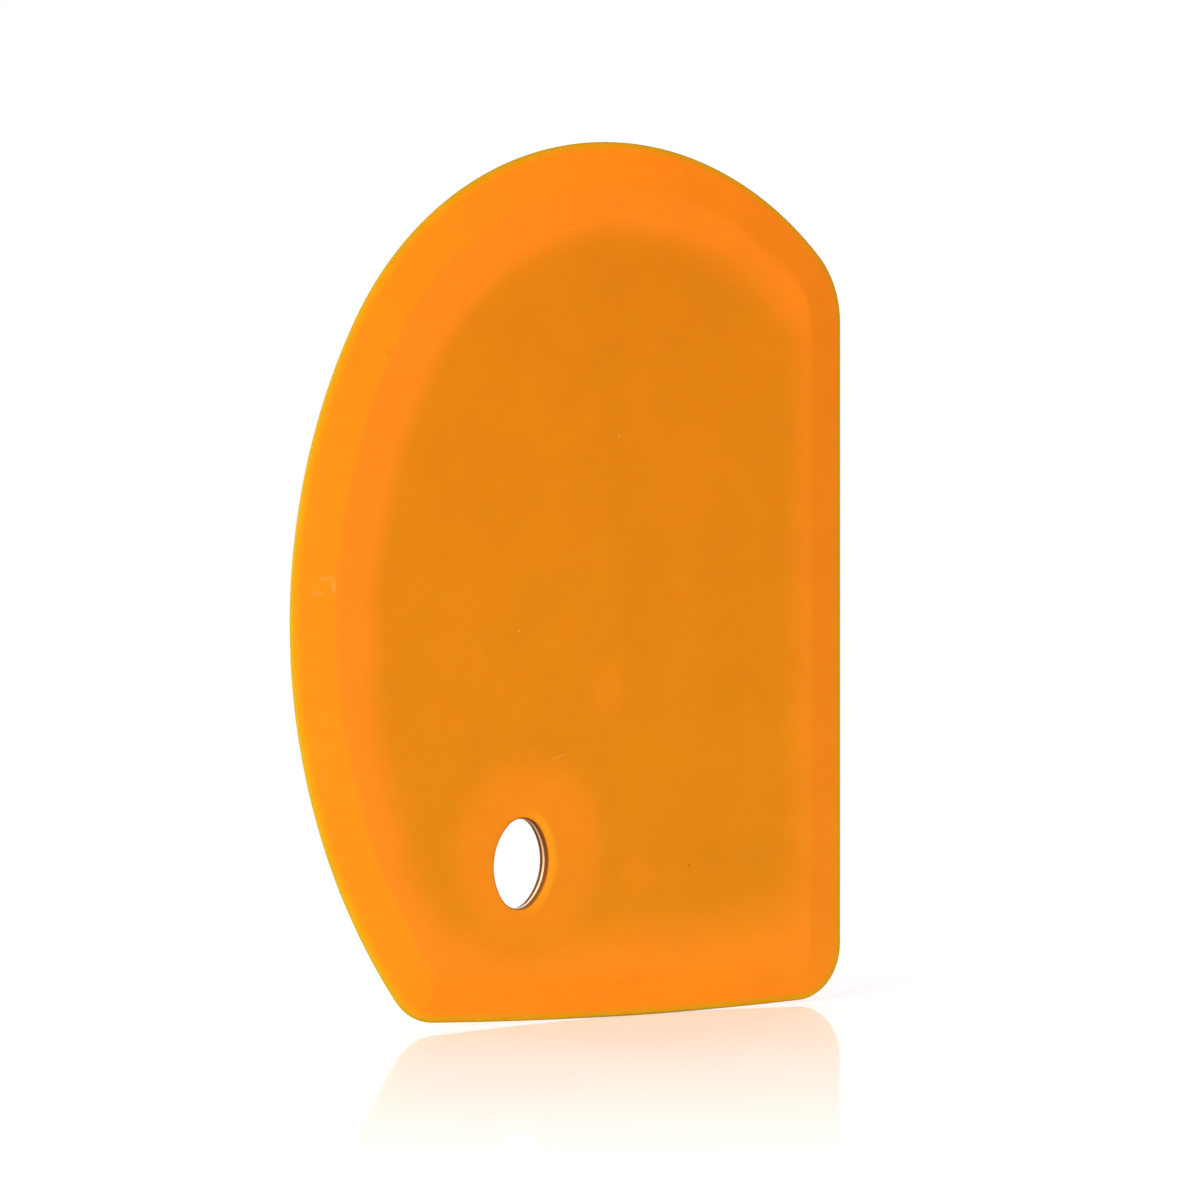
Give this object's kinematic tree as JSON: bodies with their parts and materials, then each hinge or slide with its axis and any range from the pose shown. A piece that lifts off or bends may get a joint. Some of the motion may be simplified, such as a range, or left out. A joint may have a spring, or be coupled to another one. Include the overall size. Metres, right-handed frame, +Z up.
{
  "type": "bowl scraper",
  "caption": "Flat D-shaped scraper with a curved side and a straight edge: a thin core in a flexible silicone jacket with a tapered rim and an oval hanging hole.",
  "frame": {"origin": "under the middle of the scraper as it stands on its short edge, at the level of the lowest point, halfway through the thickness", "axes": "+Z up, from the short edge towards the crown; +X towards the straight edge; -Y out of the front face"},
  "size_m": [0.1076, 0.0028, 0.14],
  "materials": {
    "silicone": "satin",
    "core_steel": "brushed"
  },
  "bodies": {
    "root": {"silicone_jacket": "silicone", "stiffener_core": "core_steel"}
  },
  "joints": []
}
